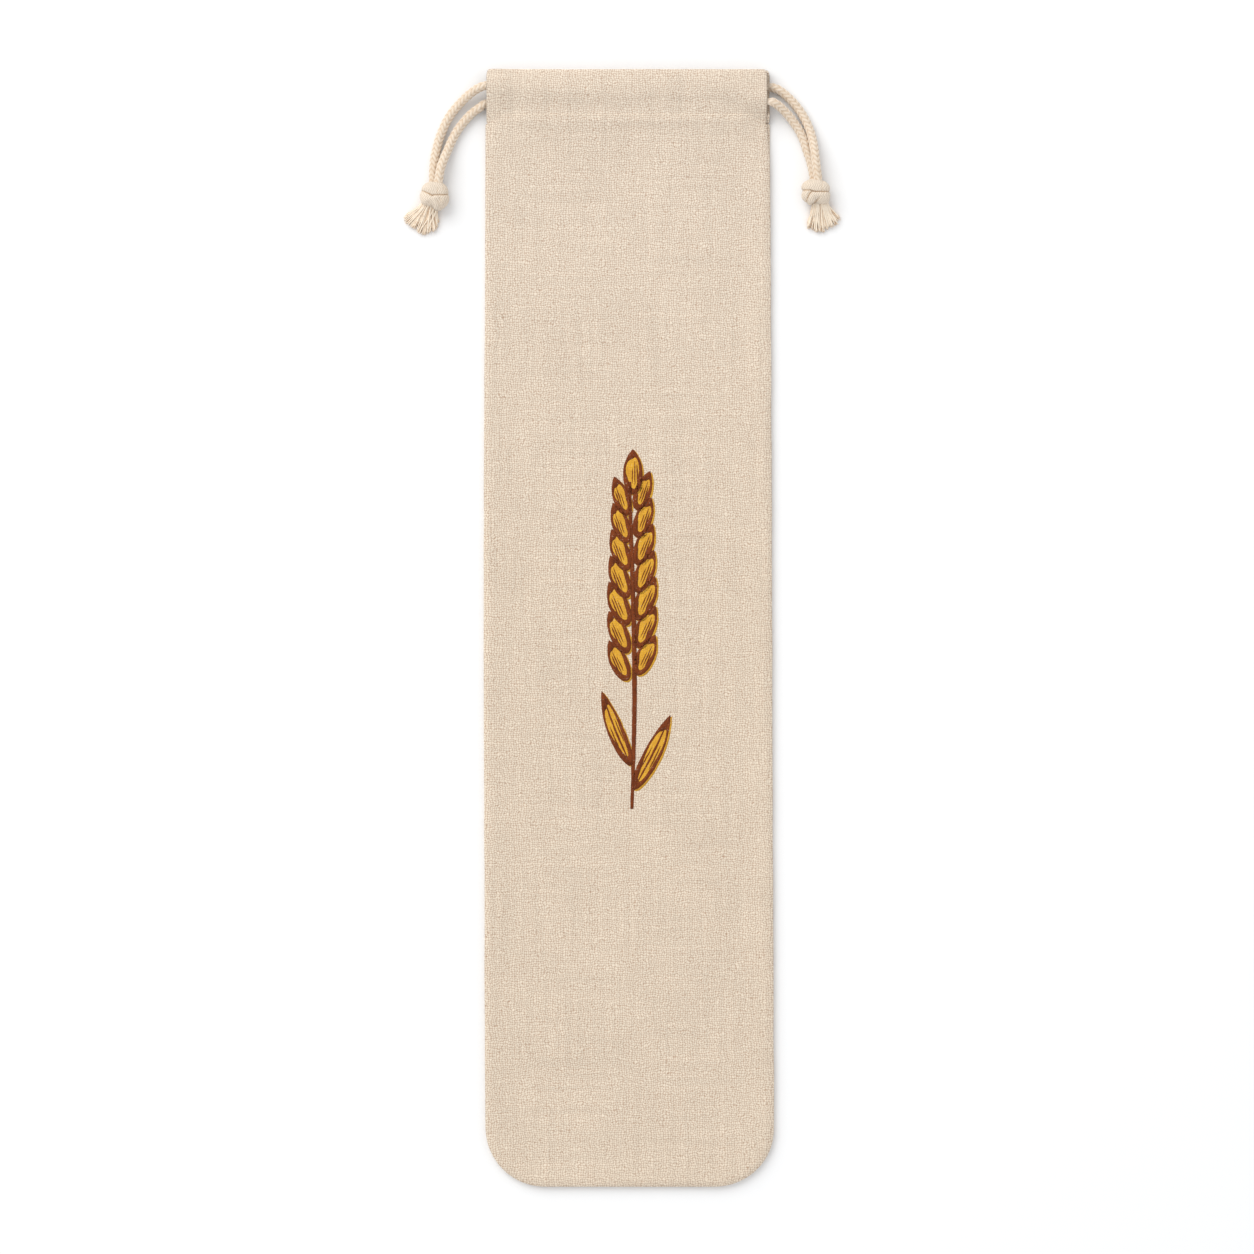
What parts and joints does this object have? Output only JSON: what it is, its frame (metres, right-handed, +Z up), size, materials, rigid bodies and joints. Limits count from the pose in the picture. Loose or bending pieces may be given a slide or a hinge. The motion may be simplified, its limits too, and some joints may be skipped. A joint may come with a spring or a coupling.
{
  "type": "linen drawstring bread bag",
  "caption": "Long flat linen bag with rounded lower corners, a hemmed casing across its mouth and knotted drawcords coming out at both sides of it.",
  "frame": {"origin": "on the surface that the bag lies on, under the middle of the bag", "axes": "+Y along the bag's length towards its mouth, +Z up out of the front panel, +X to the right seen from above"},
  "size_m": [0.2722, 0.699, 0.0135],
  "materials": {
    "linen": "matt plain weave",
    "cotton_cord": "matt round braid"
  },
  "bodies": {
    "root": {"front_panel": "linen", "back_panel": "linen", "drawcord_left": "cotton_cord", "drawcord_right": "cotton_cord", "knot_left": "cotton_cord", "knot_right": "cotton_cord", "frayed_ends_left": "cotton_cord", "frayed_ends_right": "cotton_cord"}
  },
  "joints": []
}
